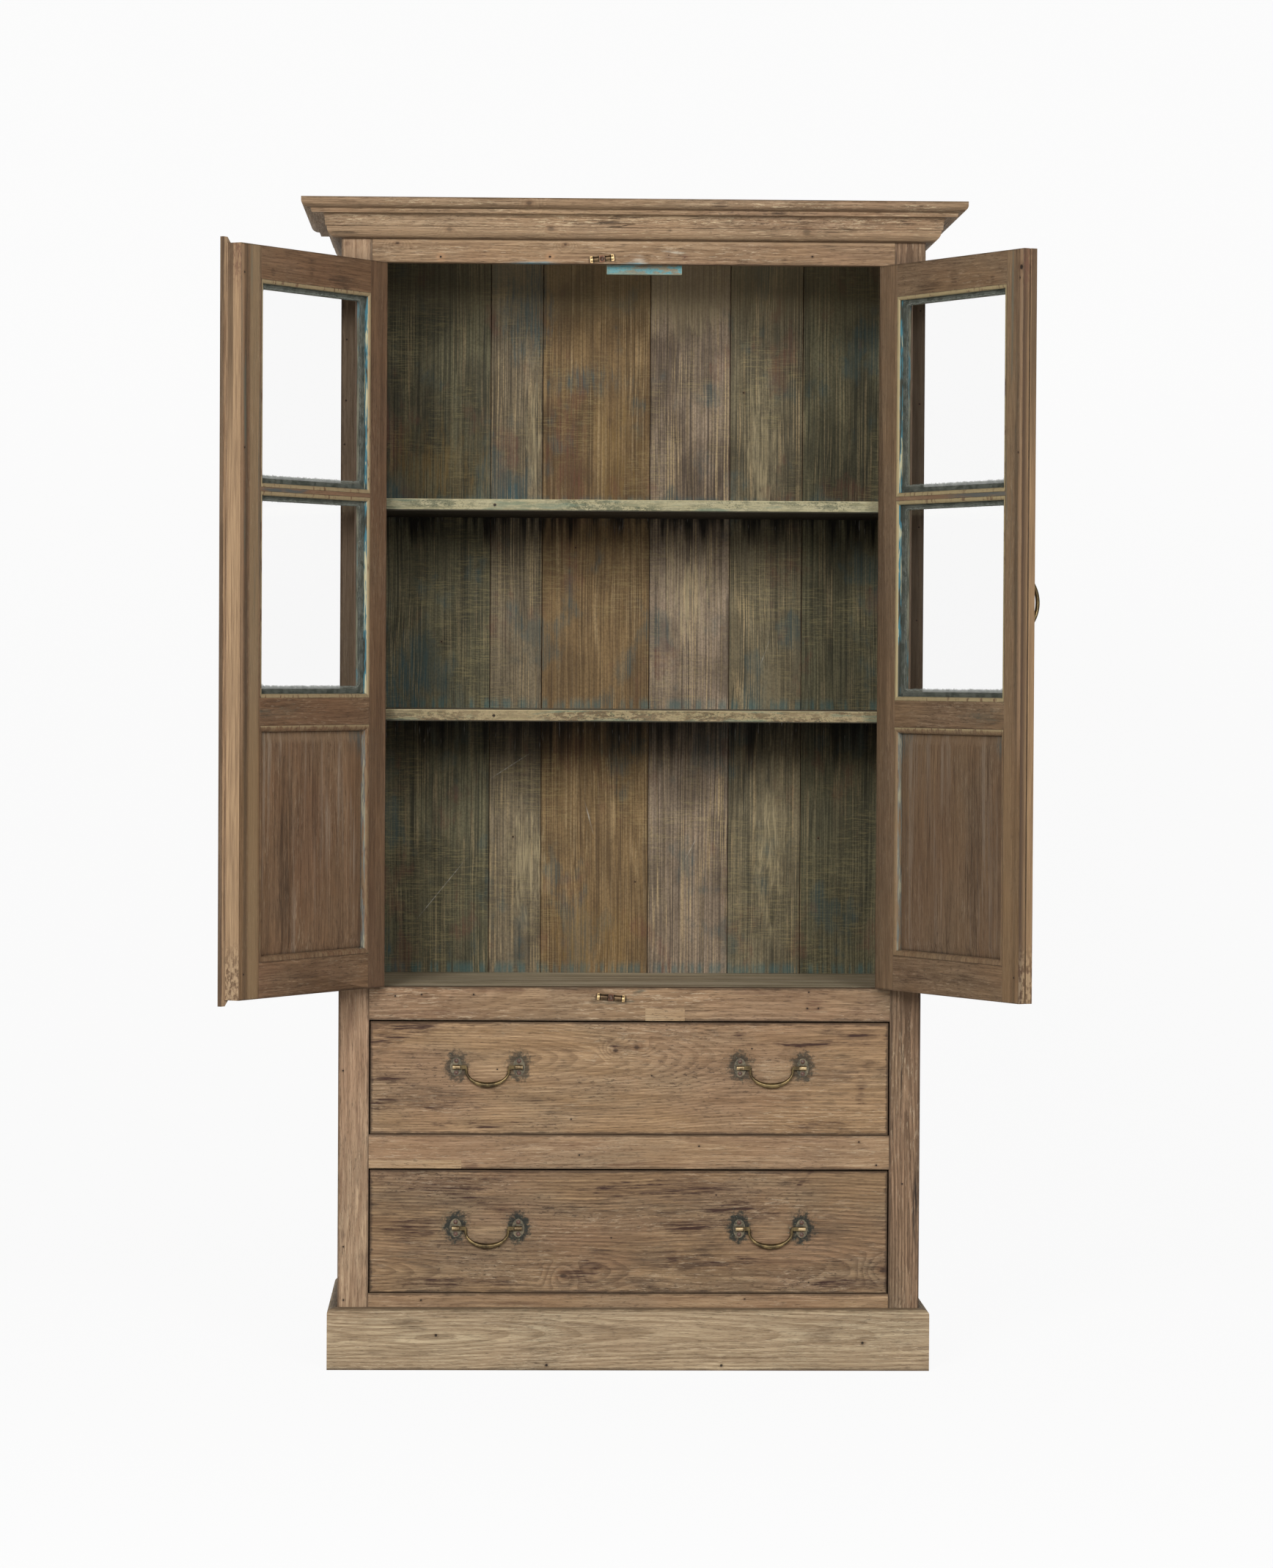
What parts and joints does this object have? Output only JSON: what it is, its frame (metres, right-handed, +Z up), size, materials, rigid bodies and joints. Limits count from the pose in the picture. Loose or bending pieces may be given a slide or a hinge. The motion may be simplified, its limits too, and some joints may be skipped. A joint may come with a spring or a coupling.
{
  "type": "glazed cupboard over drawers",
  "caption": "Tall wooden cupboard: glazed doors over shelves, drawers with brass drop handles below, moulded cornice and plinth.",
  "frame": {"origin": "on the floor, at the middle of the width, in the plane of the face frame's front", "axes": "+Z up, +Y from the front to the back, +X to the right of someone who faces the front"},
  "size_m": [1.3451, 0.8471, 2],
  "materials": {
    "frame_wood": "Weathered light brown hardwood, worn and waxed, with nail marks and knots",
    "plinth_wood": "Pale greyish brown hardwood with wavy grain",
    "side_wood": "Brown hardwood boards, matt",
    "shelf_wood": "Grey-brown boards with rubbed pale front edges",
    "back_wood": "Old boards with remains of green, blue and brown paint",
    "door_wood": "Brown hardwood with golden wear on the stiles",
    "bead_paint": "Rubbed cream paint with teal showing beneath it",
    "stop_paint": "Turquoise paint worn to the wood at its edges",
    "drawer_wood": "Mid brown hardwood with level grain and dark stains",
    "drawer_box_wood": "Plain unfinished boards",
    "aged_brass": "Cast brass, darkened, bright where it is handled",
    "hinge_steel": "Dull steel with light rust",
    "pane_glass": "Clear window glass, slightly green"
  },
  "bodies": {
    "carcase": {"back_boards": "back_wood", "bearers": "side_wood", "cornice_front": "frame_wood", "cornice_left": "frame_wood", "cornice_right": "frame_wood", "cupboard_floor": "shelf_wood", "door_stop": "stop_paint", "frame_bottom_rail": "frame_wood", "frame_drawer_rail": "frame_wood", "frame_left_stile": "frame_wood", "frame_middle_rail": "frame_wood", "frame_right_stile": "frame_wood", "frame_top_rail": "frame_wood", "hinge_frame_leaves": "hinge_steel", "left_side": "side_wood", "lower_shelf": "shelf_wood", "pivot_pins": "hinge_steel", "plinth_front": "plinth_wood", "plinth_left": "plinth_wood", "plinth_right": "plinth_wood", "rail_repairs": "frame_wood", "right_side": "side_wood", "top_board": "side_wood", "upper_shelf": "shelf_wood"},
    "left_door": {"left_door_astragal": "door_wood", "left_door_beads": "bead_paint", "left_door_bottom_rail": "door_wood", "left_door_glazing_bar": "door_wood", "left_door_hinge_leaves": "hinge_steel", "left_door_hinge_stile": "door_wood", "left_door_lock_rail": "door_wood", "left_door_meeting_stile": "door_wood", "left_door_panel": "door_wood", "left_door_panes": "pane_glass", "left_door_top_rail": "door_wood"},
    "right_door": {"right_door_beads": "bead_paint", "right_door_bottom_rail": "door_wood", "right_door_glazing_bar": "door_wood", "right_door_handle": "aged_brass", "right_door_hinge_leaves": "hinge_steel", "right_door_hinge_stile": "door_wood", "right_door_lock_rail": "door_wood", "right_door_meeting_stile": "door_wood", "right_door_panel": "door_wood", "right_door_panes": "pane_glass", "right_door_top_rail": "door_wood"},
    "upper_drawer": {"upper_drawer_front": "drawer_wood", "upper_drawer_box": "drawer_box_wood", "upper_drawer_bottom": "drawer_box_wood", "upper_drawer_pull_plates": "aged_brass"},
    "upper_drawer_left_bail": {"upper_drawer_left_bail": "aged_brass"},
    "upper_drawer_right_bail": {"upper_drawer_right_bail": "aged_brass"},
    "lower_drawer": {"lower_drawer_front": "drawer_wood", "lower_drawer_box": "drawer_box_wood", "lower_drawer_bottom": "drawer_box_wood", "lower_drawer_pull_plates": "aged_brass"},
    "lower_drawer_left_bail": {"lower_drawer_left_bail": "aged_brass"},
    "lower_drawer_right_bail": {"lower_drawer_right_bail": "aged_brass"},
    "upper_turn_button": {"upper_turn_button": "aged_brass"},
    "lower_turn_button": {"lower_turn_button": "aged_brass"}
  },
  "joints": [
    {"name": "left_door_hinge", "type": "hinge", "parent": "carcase", "child": "left_door", "pos_m": [-0.4458, -0.0035, 1.275], "axis": [0, 0, -1], "range_deg": [-121.3, 50]},
    {"name": "right_door_hinge", "type": "hinge", "parent": "carcase", "child": "right_door", "pos_m": [0.4458, -0.0035, 1.275], "axis": [0, 0, 1], "range_deg": [-117.5, 53]},
    {"name": "upper_drawer_slide", "type": "slide", "parent": "carcase", "child": "upper_drawer", "axis": [0, -1, 0], "range_m": [0, 0.32]},
    {"name": "upper_drawer_left_bail_swing", "type": "hinge", "parent": "upper_drawer", "child": "upper_drawer_left_bail", "pos_m": [-0.2435, -0.0064, 0.51948], "axis": [-1, 0, 0], "range_deg": [0, 95]},
    {"name": "upper_drawer_right_bail_swing", "type": "hinge", "parent": "upper_drawer", "child": "upper_drawer_right_bail", "pos_m": [0.2435, -0.0064, 0.51948], "axis": [-1, 0, 0], "range_deg": [0, 95]},
    {"name": "lower_drawer_slide", "type": "slide", "parent": "carcase", "child": "lower_drawer", "axis": [0, -1, 0], "range_m": [0, 0.32]},
    {"name": "lower_drawer_left_bail_swing", "type": "hinge", "parent": "lower_drawer", "child": "lower_drawer_left_bail", "pos_m": [-0.2435, -0.0064, 0.24268], "axis": [-1, 0, 0], "range_deg": [0, 95]},
    {"name": "lower_drawer_right_bail_swing", "type": "hinge", "parent": "lower_drawer", "child": "lower_drawer_right_bail", "pos_m": [0.2435, -0.0064, 0.24268], "axis": [-1, 0, 0], "range_deg": [0, 95]},
    {"name": "upper_button_turn", "type": "hinge", "parent": "carcase", "child": "upper_turn_button", "pos_m": [-0.055, -0.002, 1.9032], "axis": [0, -1, 0], "continuous": true},
    {"name": "lower_button_turn", "type": "hinge", "parent": "carcase", "child": "lower_turn_button", "pos_m": [-0.033, -0.002, 0.6392], "axis": [0, -1, 0], "continuous": true}
  ]
}
